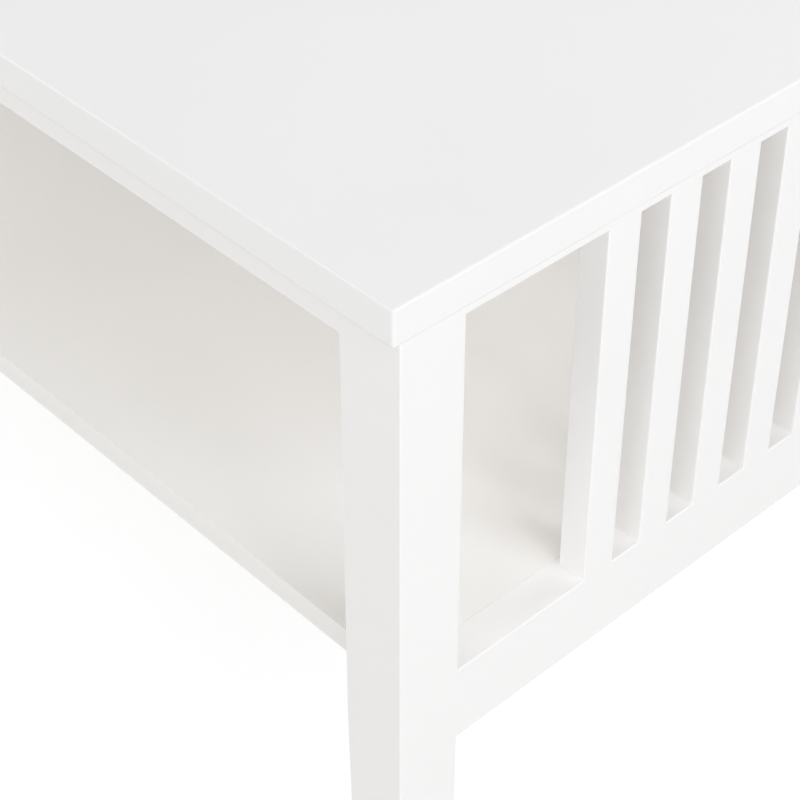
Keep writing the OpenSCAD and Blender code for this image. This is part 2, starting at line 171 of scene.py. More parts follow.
class FinishProps(PropertyGroup):
    """Colours and surface relief of the finishes."""
    top_colour: FloatVectorProperty(
        name="Top", description="Paint on the top", subtype="COLOR",
        default=(0.875, 0.857, 0.843))
    frame_colour: FloatVectorProperty(
        name="Frame", description="Paint on legs, rails and slats", subtype="COLOR",
        default=(0.88, 0.86, 0.842))
    # Painted shade: the shelf's colour is the frame's white paint made a little darker and warmer,
    # standing in for the warm shade inside the table
    shelf_colour_and_painted_shade: FloatVectorProperty(
        name="Shelf", description="Paint on the shelf", subtype="COLOR",
        default=(0.872, 0.85, 0.822))
    beech_colour: FloatVectorProperty(
        name="Beech", description="Bare beech of the dowels", subtype="COLOR",
        default=COLOUR_OF["beech_dowel"])
    zinc_colour: FloatVectorProperty(
        name="Zinc plate", description="Plate on screws and cam bolts", subtype="COLOR",
        default=COLOUR_OF["zinc_screw"])
    cast_colour: FloatVectorProperty(
        name="Cast zinc", description="Die cast cam nuts", subtype="COLOR",
        default=COLOUR_OF["cast_zinc"])
    glide_colour: FloatVectorProperty(
        name="Glides", description="Plastic of the glides", subtype="COLOR",
        default=COLOUR_OF["glide_plastic"])
    peel_size: FloatProperty(
        name="Orange peel", description="Size of the fine ripple in sprayed paint",
        default=0.0014, unit="LENGTH")
    peel_depth: FloatProperty(
        name="Ripple depth", description="Depth of that ripple", default=0.00003, unit="LENGTH")
    grain_width: FloatProperty(
        name="Grain width", description="Width of the wood grain that shows faintly through paint",
        default=0.0009, unit="LENGTH")
    cloud_size: FloatProperty(
        name="Cloud size", description="Size of the slow changes of tone in the paint",
        default=0.12, unit="LENGTH")


class StageProps(PropertyGroup):
    """Camera, lamps and floor."""
    camera_place: FloatVectorProperty(
        name="Camera", description="Place of the camera", subtype="XYZ", unit="LENGTH",
        default=(1.0589, -0.7721, 0.9831))
    camera_heading: FloatProperty(
        name="Heading", description="Turn of the camera from the table's depth axis",
        subtype="ANGLE", default=math.radians(46.994))
    camera_pitch: FloatProperty(
        name="Pitch", description="How far the camera looks down", subtype="ANGLE",
        default=math.radians(38.155))
    focal_length: FloatProperty(
        name="Focal length", description="Focal length in millimetres on a 36 mm sensor",
        default=94.534)
    camera_shift: FloatProperty(
        name="Shift", description="Shift of the picture up the lens, as a share of its width",
        default=-0.08376)
    room_light: FloatProperty(
        name="Room light", description="Strength of the even light all round", default=0.216)
    key_power: FloatProperty(
        name="Key", description="Power of the lamp high at the right", subtype="POWER",
        default=142)
    right_power: FloatProperty(
        name="Right", description="Power of the lamp in front at the right", subtype="POWER",
        default=108)
    front_power: FloatProperty(
        name="Front", description="Power of the lamp in front", subtype="POWER", default=65)
    corner_power: FloatProperty(
        name="Corner", description="Power of the lamp in front at the left", subtype="POWER",
        default=116)
    left_power: FloatProperty(
        name="Left", description="Power of the lamp at the left", subtype="POWER", default=124)
    back_power: FloatProperty(
        name="Back", description="Power of the lamp behind", subtype="POWER", default=238)
    lamp_size: FloatProperty(
        name="Lamp size", description="Side of each square lamp", unit="LENGTH", default=3.2)
    lamp_distance: FloatProperty(
        name="Lamp distance", description="From the aim to each lamp", unit="LENGTH", default=6.0)
    lamp_aim: FloatVectorProperty(
        name="Lamp aim", description="Point that the lamps face", subtype="XYZ", unit="LENGTH",
        default=(0.2, 0.0, 0.25))
    floor_radius: FloatProperty(
        name="Floor", description="Radius of the floor", default=14.0, unit="LENGTH")


def props(context):
    """Sizes of the boards and the fittings, and the finishes."""
    scene = context.scene
    return scene.table_boards, scene.table_fittings, scene.table_finish


# Surfaces

def quarter_turns(steps):
    """Directions round a rounded rectangle, and the corner that each belongs to as two signs.

    There are four quarter circles of steps + 1 directions, (cos a, sin a) with a from k to k + 1
    right angles in quarter k.
    """
    quarter = np.repeat(np.arange(4), steps + 1)
    angle = (quarter + np.tile(np.linspace(0, 1, steps + 1), 4)) * math.pi / 2
    corner = np.stack([np.where(quarter % 3 == 0, 1, -1), np.where(quarter < 2, 1, -1)], axis=1)
    return np.stack([np.cos(angle), np.sin(angle)], axis=1), corner


def along(axis, across, place):
    """Points from their two coordinates across an axis and their place along it."""
    place = np.broadcast_to(np.asarray(place)[:, None, None], across.shape[:2] + (1,))
    return np.roll(np.concatenate([across, place], axis=2), axis + 1, axis=2)


def eased_bar(axis, stations, lows, highs, radii, steps):
    """Bar along an axis, with every edge eased.

    At a station along the axis the section runs from low to high, two coordinates each. radii
    are those of the four long edges, from the high, high one round by low, high. A point is
    P(u, v) = c(u) + (r(u) - e * (1 - cos v)) * n(u) + e * sin v * a, where c is the section's
    corner drawn in by its radius r, n the direction u round the section, e the least radius and
    a the axis. v goes from -90 to 0 degrees at the first station, stays 0 in between and goes on
    to 90 degrees at the last.
    """
    directions, corners = quarter_turns(steps)
    radius = np.min(radii)
    round_edge = np.repeat(np.broadcast_to(radii, 4), steps + 1)[:, None]
    quarter = np.linspace(0, math.pi / 2, steps + 1)
    last = len(stations) - 1
    inner = np.arange(1, last)
    lift = np.concatenate([-quarter[::-1], np.zeros(len(inner)), quarter])
    at = np.concatenate([np.zeros(steps + 1), inner, np.full(steps + 1, last)]).astype(int)
    place = np.array(stations, float)
    place[0] += radius
    place[-1] -= radius
    low, high = np.array(lows, float)[at][:, None], np.array(highs, float)[at][:, None]
    core = np.where(corners > 0, high - round_edge, low + round_edge)
    drawn_in = (1 - np.cos(lift))[:, None, None] * radius
    across = core + (round_edge - drawn_in) * directions
    return along(axis, across, place[at] + radius * np.sin(lift))


def block(low, high, axis, radii, steps):
    """Straight eased bar that fills the box from low to high, carried along an axis."""
    across = [(axis + 1) % 3, (axis + 2) % 3]
    ends = [low[axis], high[axis]]
    section = [[low[i] for i in across], [high[i] for i in across]]
    return eased_bar(axis, ends, [section[0]] * 2, [section[1]] * 2, radii, steps)


def rounded_rectangle(low, high, radius, steps):
    """Outline of a rectangle with round corners: P(u) = corner + radius * direction(u)."""
    directions, corners = quarter_turns(steps)
    return np.where(corners > 0, high - radius, low + radius) + radius * directions


def eased_sheet(outline, low, high, lower_radius, upper_radius, steps):
    """Flat sheet with an outline drawn anticlockwise and rounded lower and upper edges.

    A point is P(u, v) = outline(u) + inset(v) * inward(u) at the height z(v). inward is the sum of
    the normals m and n of the two sides that meet there over 1 + m . n, which keeps the inset the
    same along both. Below, the inset is r * (1 - sin v) and the height low + r * (1 - cos v), and
    above r * (1 - cos v) and high - r * (1 - sin v), each for v from 0 to 90 degrees.
    """
    outline = np.array(outline, float)
    side = np.roll(outline, -1, axis=0) - outline
    side /= np.linalg.norm(side, axis=1, keepdims=True)
    after = np.stack([-side[:, 1], side[:, 0]], axis=1)
    before = np.roll(after, 1, axis=0)
    inward = (before + after) / (1 + (before * after).sum(axis=1, keepdims=True))
    turn = np.linspace(0, math.pi / 2, steps + 1)
    inset = np.concatenate([lower_radius * (1 - np.sin(turn)), upper_radius * (1 - np.cos(turn))])
    height = np.concatenate([
        low + lower_radius * (1 - np.cos(turn)), high - upper_radius * (1 - np.sin(turn))])
    return along(Z, outline + inset[:, None, None] * inward, height)


def full_turn(steps):
    """Angles at even steps round a full turn."""
    return np.arange(steps) * 2 * math.pi / steps


def turned(heights, radii, steps):
    """Surface of revolution round the local Z axis.

    P(u, v) = (r(u, v) cos u, r(u, v) sin u, z(v)), with one row of radii for each height.
    """
    angle = full_turn(steps)
    rows = len(heights)
    radii = np.broadcast_to(np.asarray(radii, float).reshape(rows, -1), (rows, steps))
    across = radii[:, :, None] * np.stack([np.cos(angle), np.sin(angle)], axis=1)
    return along(Z, across, heights)


def stood(rings, origin, axis, sign):
    """Moves a local shape to its origin, with its Z axis along plus or minus an axis."""
    third = np.zeros(3)
    third[axis] = sign
    first = np.roll(np.abs(third), 1)
    turn = np.stack([first, np.cross(third, first), third])
    return rings @ turn + np.asarray(origin, float)


def ring_quads(rows, columns):
    """Quads between neighbouring rings of a grid, as indices of its points."""
    row = np.arange(rows - 1)[:, None] * columns
    column = np.arange(columns)[None, :]
    following = (column + 1) % columns
    return np.stack([
        row + column, row + following, row + columns + following, row + columns + column,
    ], axis=2).reshape(-1, 4)


def add_object(name, data):
    """Object in the scene for a mesh, a lamp or a camera."""
    thing = bpy.data.objects.new(name, data)
    bpy.context.scene.collection.objects.link(thing)
    return thing


def add_mesh(name, shells):
    """Object of closed shells, each a grid of rings whose first and last are capped."""
    points, faces, start = [], [], 0
    for rings in shells:
        rows, columns = rings.shape[:2]
        faces += (start + ring_quads(rows, columns)).tolist()
        faces.append((start + np.arange(columns)[::-1]).tolist())
        faces.append((start + (rows - 1) * columns + np.arange(columns)).tolist())
        points.append(rings.reshape(-1, 3))
        start += rows * columns
    mesh = bpy.data.meshes.new(name)
    mesh.from_pydata(np.concatenate(points), [], faces)
    weld = bmesh.new()
    weld.from_mesh(mesh)
    bmesh.ops.remove_doubles(weld, verts=weld.verts, dist=WELD_DISTANCE)
    weld.to_mesh(mesh)
    weld.free()
    mesh.polygons.foreach_set("use_smooth", np.ones(len(mesh.polygons), bool))
    return add_object(name, mesh)


def combine(piece, shells, operation):
    """Joins closed shells to a piece, or cuts them out of it."""
    if not shells:
        return
    tool = add_mesh(piece.name + "_tool", shells)
    change = piece.modifiers.new(operation.title(), "BOOLEAN")
    change.operation = operation
    change.solver = "EXACT"
    change.object = tool
    settle(piece)
    bpy.data.objects.remove(tool)


def settle(piece):
    """Puts what a piece's modifiers make into its mesh."""
    seen = piece.evaluated_get(bpy.context.evaluated_depsgraph_get())
    mesh = bpy.data.meshes.new_from_object(seen)
    piece.modifiers.clear()
    piece.data = mesh


def hand_over(piece, material, *nodes):
    """Shades a finished piece, and lets it stand for its CAD nodes on their body."""
    piece.data.set_sharp_from_angle(angle=SHARP_ANGLE)
    normals = piece.modifiers.new("Normals", "WEIGHTED_NORMAL")
    normals.keep_sharp = True
    settle(piece)
    piece.data.materials.clear()
    piece.data.materials.append(material)
    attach(piece, BODY)
    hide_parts(*nodes)


# What the frame says

def solids_of(node):
    """Lowest and highest corner of each separate solid in a CAD node, as an array.

    Corners of triangles are matched by their place, and a label spreads along the triangles
    until every solid has one label.
    """
    mesh = frame["nodes"][node].data
    mesh.calc_loop_triangles()
    points = np.empty(len(mesh.vertices) * 3, np.float32)
    mesh.vertices.foreach_get("co", points)
    points = points.reshape(-1, 3)
    triangles = np.empty(len(mesh.loop_triangles) * 3, np.int32)
    mesh.loop_triangles.foreach_get("vertices", triangles)
    unique, weld = np.unique(np.round(points, PLACE_DIGITS), axis=0, return_inverse=True)
    triangles = weld.reshape(-1)[triangles].reshape(-1, 3)
    label = np.arange(len(unique))
    spreading = True
    while spreading:
        lowest = label.copy()
        np.minimum.at(lowest, triangles.ravel(), np.repeat(label[triangles].min(axis=1), 3))
        spreading = not np.array_equal(lowest, label)
        label = lowest
    solids = [unique[label == kind] for kind in np.unique(label)]
    return np.array([[solid.min(axis=0), solid.max(axis=0)] for solid in solids])


def box_of(node):
    """Lowest and highest corner of a CAD node, as an array."""
    return np.array([list(corner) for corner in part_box(node)])


def inner_face(axis):
    """Distance of the legs' inner faces from the middle of the table, along an axis."""
    return min(abs(box_of(name)).min(axis=0)[axis] for name in LEGS)


def meet(one, other, margin=0.0004):
    """Whether two boxes reach into each other by more than a margin."""
    return bool(np.all(one[1] - margin > other[0]) and np.all(other[1] - margin > one[0]))


def long_axis(box):
    """Axis along which a box is longest."""
    return int(np.argmax(box[1] - box[0]))


def middle_radius(box, axis):
    """Half the width of a round solid across its axis."""
    across = np.delete(box[1] - box[0], axis)
    return across.mean() / 2


def middle_at(box, axis, place):
    """Middle of a box, moved to a place along an axis."""
    middle = box.mean(axis=0)
    middle[axis] = place
    return middle


def screw_heads(node):
    """Place, axis and outward sign of each screw's head, with the screw's length and box."""
    axis, sign = SCREW_HEADS[node]
    heads = []
    for box in solids_of(node):
        low, high = box[:, axis]
        outward = sign or (-1 if low + high > 0 else 1)
        head = middle_at(box, axis, high if outward > 0 else low)
        heads.append((head, axis, outward, high - low, box))
    return heads


# Joints

def lengthened(box, axis, reach):
    """Box that reaches further at both ends of an axis."""
    low, high = box[0].copy(), box[1].copy()
    low[axis] -= reach
    high[axis] += reach
    return low, high


def joint_box(rail, boards, room, end_room):
    """Box that runs through an end rail as its tenons or tongues, with room round them.

    Lower rails have tenons with a shoulder above and below, and upper rails plain tongues.
    """
    low, high = box_of(rail)
    thickness, shoulder = boards.tongue_width, 0
    if rail.endswith("bottom_rail"):
        thickness, shoulder = boards.tenon_thickness, boards.tenon_shoulder - room
    middle = (low[X] + high[X]) / 2
    half = thickness / 2 + room
    low[X], high[X] = middle - half, middle + half
    low[Z] += shoulder
    high[Z] -= shoulder
    return lengthened(np.array([low, high]), Y, end_room)


def pin_bore(leg, fittings):
    """Bore up a leg's foot for its glide's pin."""
    box = box_of(leg.replace("leg", "glide"))
    low, high = box[:, Z]
    radius = fittings.pin_radius + fittings.clearance
    shape = turned([low - high, 0], [radius, radius], fittings.round_steps)
    return stood(shape, middle_at(box, Z, high + fittings.end_room), Z, 1)


# Fittings

def dowel_rings(radius, length, fittings):
    """Fluted dowel about the local origin, with a chamfer at each end.

    The radius is r(u, v) = R(v) - flute_depth * max(0, cos(flutes * u))**2.
    """
    chamfer = radius / 4
    heights = [-length / 2, chamfer - length / 2, length / 2 - chamfer, length / 2]
    outer = np.array([radius - chamfer, radius, radius, radius - chamfer])
    steps = 4 * fittings.flute_count
    wave = np.cos(fittings.flute_count * full_turn(steps))
    flutes = fittings.flute_depth * np.maximum(0, wave) ** 2
    return turned(heights, outer[:, None] - flutes, steps)


def thread(heights, angle, pitch, steepness=2.2):
    """Height of a thread's ridge, from 0 to 1: a triangle wave of z / pitch - u / 360 degrees.

    A steepness over 2 leaves a flat root between the ridges.
    """
    phase = (heights[:, None] / pitch - angle / (2 * math.pi)) % 1
    return np.maximum(0, 1 - steepness * np.abs(phase - 0.5))


def screw_rings(length, head_radius, fittings):
    """Countersunk screw from its point up to its head's face at the origin, with a cross recess.

    The thread's radius is core + thread_depth * ridge(u, z). The recess is a ring with the polar
    radius of a cross, min(arm / |cos|, half / |sin|) taken the wider way round, drawn in and
    sunk to its floor.
    """
    steps = fittings.round_steps
    angle = full_turn(steps)
    shank = fittings.shank_radius
    core = shank - fittings.thread_depth
    cone = head_radius - shank
    rim = 0.08 * cone
    tip, tip_rings, blunt = 2 * shank, 4, 0.15
    plain = 0.35 * length
    threads = np.arange(-length + tip, -plain, fittings.thread_pitch / RINGS_PER_TURN)
    body = core + fittings.thread_depth * thread(threads, angle, fittings.thread_pitch)
    point = np.linspace(blunt, 1, tip_rings)[:-1, None] * np.full(steps, core)
    neck = np.full((2, steps), core) + np.array([[0], [shank - core]])
    head = np.array([[head_radius - rim], [head_radius]]) * np.ones(steps)
    arm, half, sunk = 0.6 * head_radius, 0.14 * head_radius, 0.4 * head_radius
    drawn_in = 0.6
    cos, sin = np.abs(np.cos(angle)), np.abs(np.sin(angle))
    small = 1e-9
    cross = np.maximum(
        np.minimum(arm / (cos + small), half / (sin + small)),
        np.minimum(arm / (sin + small), half / (cos + small)))
    recess = np.stack([cross, cross * drawn_in])
    heights = np.concatenate([
        np.linspace(-length, -length + tip, tip_rings)[:-1], threads,
        [threads[-1] + shank / 4, -cone, -rim, 0, 0, -sunk],
    ])
    return turned(heights, np.concatenate([point, body, neck, head, recess]), steps)


def screw_bore(length, head_radius, overrun, fittings):
    """Countersunk bore that clears such a screw, from its blind end up past its face."""
    room, shank = fittings.clearance, fittings.shank_radius
    cone = head_radius - shank
    heights = [-length - fittings.end_room, -cone, 0, overrun]
    radii = [shank + room, shank + room, head_radius + room, head_radius + room]
    return turned(heights, radii, fittings.round_steps)


def bores_for(box, fittings):
    """Bores of every dowel, screw and cam fitting that reaches into a board's box."""
    overrun = 0.001
    bores = []
    for node in DOWELS + ("cam_bolts", "cam_nuts"):
        for solid in solids_of(node):
            if not meet(solid, box):
                continue
            axis, below, above = long_axis(solid), fittings.end_room, fittings.end_room
            if node == "cam_nuts":
                axis, below, above = Z, overrun, 0
            reach = (solid[1][axis] - solid[0][axis]) / 2
            radius = middle_radius(solid, axis) + fittings.clearance
            heights = [-reach - below, reach + above]
            shape = turned(heights, [radius, radius], fittings.round_steps * 2)
            bores.append(stood(shape, solid.mean(axis=0), axis, 1))
    for node in SCREW_HEADS:
        for place, axis, sign, length, solid in screw_heads(node):
            if meet(solid, box):
                shape = screw_bore(length, middle_radius(solid, axis), overrun, fittings)
                bores.append(stood(shape, place, axis, sign))
    return bores


# Finishes

def set_inputs(tree, node, inputs):
    """Gives a node its inputs. Each is a plain value, or another node's output to link."""
    for name, value in inputs.items():
        if isinstance(value, bpy.types.NodeSocket):
            tree.links.new(value, node.inputs[name])
        else:
            node.inputs[name].default_value = value


def add_node(tree, kind, inputs=None, **settings):
    """Adds a shader node with its settings and inputs."""
    node = tree.nodes.new(kind)
    for name, value in settings.items():
        setattr(node, name, value)
    set_inputs(tree, node, inputs or {})
    return node


def empty_tree(holder):
    """Node tree of a new material or world, with nothing in it."""
    holder.use_nodes = True
    holder.node_tree.nodes.clear()
    return holder.node_tree


def start_material(name):
    """Empty material with its surface shader, and the object coordinates."""
    material = bpy.data.materials.new(name)
    tree = empty_tree(material)
    shader = add_node(tree, "ShaderNodeBsdfPrincipled")
    add_node(tree, "ShaderNodeOutputMaterial", {"Surface": shader.outputs["BSDF"]})
    place = add_node(tree, "ShaderNodeTexCoord").outputs["Object"]
    return material, tree, shader, place


def noise(tree, place, size, detail=2.0, stretch=(1, 1, 1)):
    """Noise of a given feature size in metres, stretched along some axes."""
    scaled = add_node(tree, "ShaderNodeMapping", {"Vector": place, "Scale": stretch})
    texture = add_node(tree, "ShaderNodeTexNoise", {
        "Vector": scaled.outputs["Vector"], "Scale": 1 / size, "Detail": detail})
    return texture.outputs["Fac"]


def spread(tree, value, low, high):
    """Noise, most of which lies between 0.3 and 0.7, spread over a range."""
    return add_node(tree, "ShaderNodeMapRange", {
        "Value": value, "From Min": 0.3, "From Max": 0.7, "To Min": low, "To Max": high,
    }).outputs["Result"]


def blend_colours(tree, value, one, other):
    """Colour between two others, by a value from 0 to 1."""
    inputs = {0: value, 6: (*one, 1), 7: (*other, 1)}
    return add_node(tree, "ShaderNodeMix", inputs, data_type="RGBA").outputs[2]


def shaded(tree, value, colour, share):
    """Colour between a darker share of itself and the whole, by a value from 0 to 1."""
    return blend_colours(tree, value, [share * part for part in colour], colour)


def relief(tree, height, depth, under=None):
    """Bump of a height from 0 to 1 over a depth in metres, on top of another bump."""
    inputs = {"Height": height, "Distance": depth, "Strength": 1.0}
    if under is not None:
        inputs["Normal"] = under
    return add_node(tree, "ShaderNodeBump", inputs).outputs["Normal"]


def white_paint(name, colour, axis, finish):
    """Sprayed satin paint: fine ripple, faint grain along an axis and slow changes of tone."""
    full_name = f"{name}_{'xyz'[axis]}"
    if full_name in bpy.data.materials:
        return bpy.data.materials[full_name]
    material, tree, shader, place = start_material(full_name)
    lengthwise = [1.0, 1.0, 1.0]
    lengthwise[axis] = 0.03
    clouds = spread(tree, noise(tree, place, finish.cloud_size), 0, 1)
    sheen = noise(tree, place, finish.cloud_size / 5, detail=3.0)
    grain = noise(tree, place, finish.grain_width, detail=3.0, stretch=lengthwise)
    ripple = noise(tree, place, finish.peel_size, detail=1.0)
    under = relief(tree, grain, finish.peel_depth / 3)
    set_inputs(tree, shader, {
        "Base Color": shaded(tree, clouds, colour, 0.985),
        "Roughness": spread(tree, sheen, 0.55, 0.63),
        "Specular IOR Level": 0.25,
        "Normal": relief(tree, ripple, finish.peel_depth, under),
    })
    return material


def frame_paint(axis, finish):
    """Paint of the legs, rails, slats and cleats, with its grain along an axis."""
    return white_paint("frame_paint", finish.frame_colour, axis, finish)


def bare_beech(finish):
    """Turned beech: rings of growth, pores along the grain and open end grain."""
    material, tree, shader, place = start_material("bare_beech")
    pore_width, pore_depth = 0.0004, 0.00005
    rings = add_node(tree, "ShaderNodeTexWave", {
        "Vector": place, "Scale": 90.0, "Distortion": 3.0, "Detail": 3.0}).outputs["Fac"]
    pores = noise(tree, place, pore_width, stretch=(1, 1, 0.1))
    set_inputs(tree, shader, {
        "Base Color": shaded(tree, rings, finish.beech_colour, 0.72),
        "Roughness": spread(tree, pores, 0.55, 0.75),
        "Normal": relief(tree, pores, pore_depth),
    })
    return material


def plated_steel(finish):
    """Bright zinc plate with a faint bloom and drawn marks, made once."""
    if "plated_steel" in bpy.data.materials:
        return bpy.data.materials["plated_steel"]
    material, tree, shader, place = start_material("plated_steel")
    bloom_size, smear_size, mark_width, mark_depth = 0.004, 0.001, 0.0003, 0.00001
    red, green, blue = finish.zinc_colour
    warm = (1.04 * red, green, 0.9 * blue)
    bloom = spread(tree, noise(tree, place, bloom_size), 0, 1)
    smears = noise(tree, place, smear_size, detail=3.0)
    marks = noise(tree, place, mark_width)
    set_inputs(tree, shader, {
        "Base Color": blend_colours(tree, bloom, finish.zinc_colour, warm),
        "Metallic": 1.0,
        "Roughness": spread(tree, smears, 0.24, 0.42),
        "Normal": relief(tree, marks, mark_depth),
    })
    return material


def cast_zinc(finish):
    """Die cast zinc: dull and slightly grainy."""
    material, tree, shader, place = start_material("cast_zinc")
    grain_width, grain_depth = 0.0006, 0.00004
    grains = noise(tree, place, grain_width, detail=4.0)
    set_inputs(tree, shader, {
        "Base Color": shaded(tree, grains, finish.cast_colour, 0.8),
        "Metallic": 1.0,
        "Roughness": spread(tree, grains, 0.45, 0.65),
        "Normal": relief(tree, grains, grain_depth),
    })
    return material


def glide_plastic(finish):
    """Moulded plastic with a fine spark-eroded texture."""
    material, tree, shader, place = start_material("glide_plastic")
    grain_width, grain_depth, cloud_size = 0.0005, 0.00003, 0.01
    grains = noise(tree, place, grain_width, detail=3.0)
    clouds = noise(tree, place, cloud_size)
    set_inputs(tree, shader, {
        "Base Color": shaded(tree, clouds, finish.glide_colour, 0.93),
        "Roughness": spread(tree, grains, 0.5, 0.62),
        "Normal": relief(tree, grains, grain_depth),
    })
    return material


def seen_ray(tree):
    """1 for rays from the camera, also by gloss or through glass, and 0 for the light's own."""
    path = add_node(tree, "ShaderNodeLightPath").outputs
    seen = path["Is Camera Ray"]
    for kind in ("Is Glossy Ray", "Is Transmission Ray"):
        either = add_node(tree, "ShaderNodeMath", {0: seen, 1: path[kind]}, operation="MAXIMUM")
        seen = either.outputs[0]
    return seen


# Boards

def make_board(node, ending, corners, axis, radii, context, added=()):
    """Eased board between two corners, with what is joined to it, its bores and its paint."""
    boards, fittings, finish = props(context)
    piece = add_mesh(node + ending, [block(*corners, axis, radii, boards.edge_steps)])
    combine(piece, added, "UNION")
    combine(piece, bores_for(box_of(node), fittings), "DIFFERENCE")
    hand_over(piece, frame_paint(axis, finish), node)


# Operators

class TABLE_OT_top(Operator):
    """Makes the top board with its eased edges and the bores in its underside"""
    bl_idname = "table.make_top"
    bl_label = "Top"

    def execute(self, context):
        boards, fittings, finish = props(context)
        box = box_of("top_panel")
        low, high = box
        steps, lower = boards.edge_steps, boards.lower_radius
        outline = rounded_rectangle(low[[X, Y]], high[[X, Y]], lower, steps)
        sheet = eased_sheet(outline, low[Z], high[Z], lower, boards.top_radius, steps)
        piece = add_mesh("top_board", [sheet])
        combine(piece, bores_for(box, fittings), "DIFFERENCE")
        hand_over(piece, white_paint("top_paint", finish.top_colour, X, finish), "top_panel")
        return {"FINISHED"}


class TABLE_OT_legs(Operator):
    """Makes the four legs, mortised and bored, with the inner face tapering to the foot"""
    bl_idname = "table.make_legs"
    bl_label = "Legs"

    def execute(self, context):
        boards, fittings, finish = props(context)
        for node in LEGS:
            box = box_of(node)
            low, high = box
            side = 1 if low[X] > 0 else -1
            narrow = high[X] - low[X] - boards.foot_width
            stations = [low[Z], boards.taper_height, high[Z]]
            lows, highs = np.tile(low[[X, Y]], (3, 1)), np.tile(high[[X, Y]], (3, 1))
            if side > 0:
                lows[0][X] += narrow
            else:
                highs[0][X] -= narrow
            piece = add_mesh(node + "_post", [
                eased_bar(Z, stations, lows, highs, boards.leg_radius, boards.edge_steps)])
            end = "right" if side > 0 else "left"
            room = fittings.clearance
            joints = [
                block(*joint_box(end + rail, boards, room, fittings.end_room), Y, room, 1)
                for rail in ("_bottom_rail", "_top_rail")]
            combine(piece, joints, "DIFFERENCE")
            combine(piece, bores_for(box, fittings) + [pin_bore(node, fittings)], "DIFFERENCE")
            hand_over(piece, frame_paint(Z, finish), node)
        return {"FINISHED"}


class TABLE_OT_long_rails(Operator):
    """Makes the front and back rails under the top, bored for their fittings"""
    bl_idname = "table.make_long_rails"
    bl_label = "Long rails"

    def execute(self, context):
        boards = context.scene.table_boards
        for node in ("front_top_rail", "back_top_rail"):
            corners = lengthened(box_of(node), X, boards.joint_fill)
            make_board(node, "_board", corners, X, boards.edge_radius, context)
        return {"FINISHED"}


class TABLE_OT_end_frames(Operator):
    """Makes the rails and slats of both ends, with tenons, tongues and bores"""
    bl_idname = "table.make_end_frames"
    bl_label = "End frames"

    def execute(self, context):
        boards = context.scene.table_boards
        outer, tight = boards.edge_radius, boards.joint_radius
        for end in ENDS:
            beside_shelf = [outer, outer, outer, tight]
            if end == "left":
                beside_shelf = beside_shelf[::-1]
            self.make_rail(end + "_bottom_rail", beside_shelf, context)
            self.make_rail(end + "_top_rail", outer, context)
            for node in SLATS:
                if node.startswith(end):
                    corners = lengthened(box_of(node), Z, boards.joint_fill)
                    make_board(node, "_bar", corners, Z, outer, context)
        return {"FINISHED"}

    def make_rail(self, node, radii, context):
        """Rail between two legs, joined to the tenon or tongue that runs through it."""
        boards = context.scene.table_boards
        joint_edge = 0.0003
        body = box_of(node)
        body[0][Y], body[1][Y] = -inner_face(Y), inner_face(Y)
        through = block(*joint_box(node, boards, 0, 0), Y, joint_edge, 1)
        corners = lengthened(body, Y, boards.joint_fill)
        make_board(node, "_board", corners, Y, radii, context, [through])


class TABLE_OT_shelf(Operator):
    """Makes the shelf, notched round the legs, with its cleats and its batten"""
    bl_idname = "table.make_shelf"
    bl_label = "Shelf"

    def execute(self, context):
        boards, fittings, finish = props(context)
        box = box_of("shelf_panel")
        x = abs(box_of("right_bottom_rail")).min(axis=0)[X]
        y = box[1][Y]
        notch_x, notch_y = inner_face(X), inner_face(Y)
        outline = [
            (-notch_x, -y), (notch_x, -y), (notch_x, -notch_y), (x, -notch_y),
            (x, notch_y), (notch_x, notch_y), (notch_x, y), (-notch_x, y),
            (-notch_x, notch_y), (-x, notch_y), (-x, -notch_y), (-notch_x, -notch_y),
        ]
        edge = boards.joint_radius
        sheet = eased_sheet(outline, box[0][Z], box[1][Z], edge, edge, boards.edge_steps)
        piece = add_mesh("shelf_board", [sheet])
        combine(piece, bores_for(box, fittings), "DIFFERENCE")
        # The shelf's paint carries painted shade: a darker, warmer copy of the white paint, for the
        # shade inside the table
        hand_over(piece, white_paint("shelf_paint", finish.shelf_colour_and_painted_shade, X, finish), "shelf_panel")
        for node, axis in (("right_shelf_cleat", Y), ("left_shelf_cleat", Y), ("shelf_batten", X)):
            make_board(node, "_bar", box_of(node), axis, boards.edge_radius / 2, context)
        return {"FINISHED"}


class TABLE_OT_dowels(Operator):
    """Makes the fluted wooden dowels"""
    bl_idname = "table.make_dowels"
    bl_label = "Dowels"

    def execute(self, context):
        _, fittings, finish = props(context)
        material = bare_beech(finish)
        for node in DOWELS:
            shells = []
            for box in solids_of(node):
                axis = long_axis(box)
                length = box[1][axis] - box[0][axis]
                shape = dowel_rings(middle_radius(box, axis), length, fittings)
                shells.append(stood(shape, box.mean(axis=0), axis, 1))
            hand_over(add_mesh(node + "_fluted", shells), material, node)
        return {"FINISHED"}


class TABLE_OT_screws(Operator):
    """Makes the countersunk screws with their threads and cross recesses"""
    bl_idname = "table.make_screws"
    bl_label = "Screws"

    def execute(self, context):
        _, fittings, finish = props(context)
        material = plated_steel(finish)
        for node in SCREW_HEADS:
            shells = []
            for place, axis, sign, length, box in screw_heads(node):
                shape = screw_rings(length, middle_radius(box, axis), fittings)
                shells.append(stood(shape, place, axis, sign))
            hand_over(add_mesh(node + "_threaded", shells), material, node)
        return {"FINISHED"}


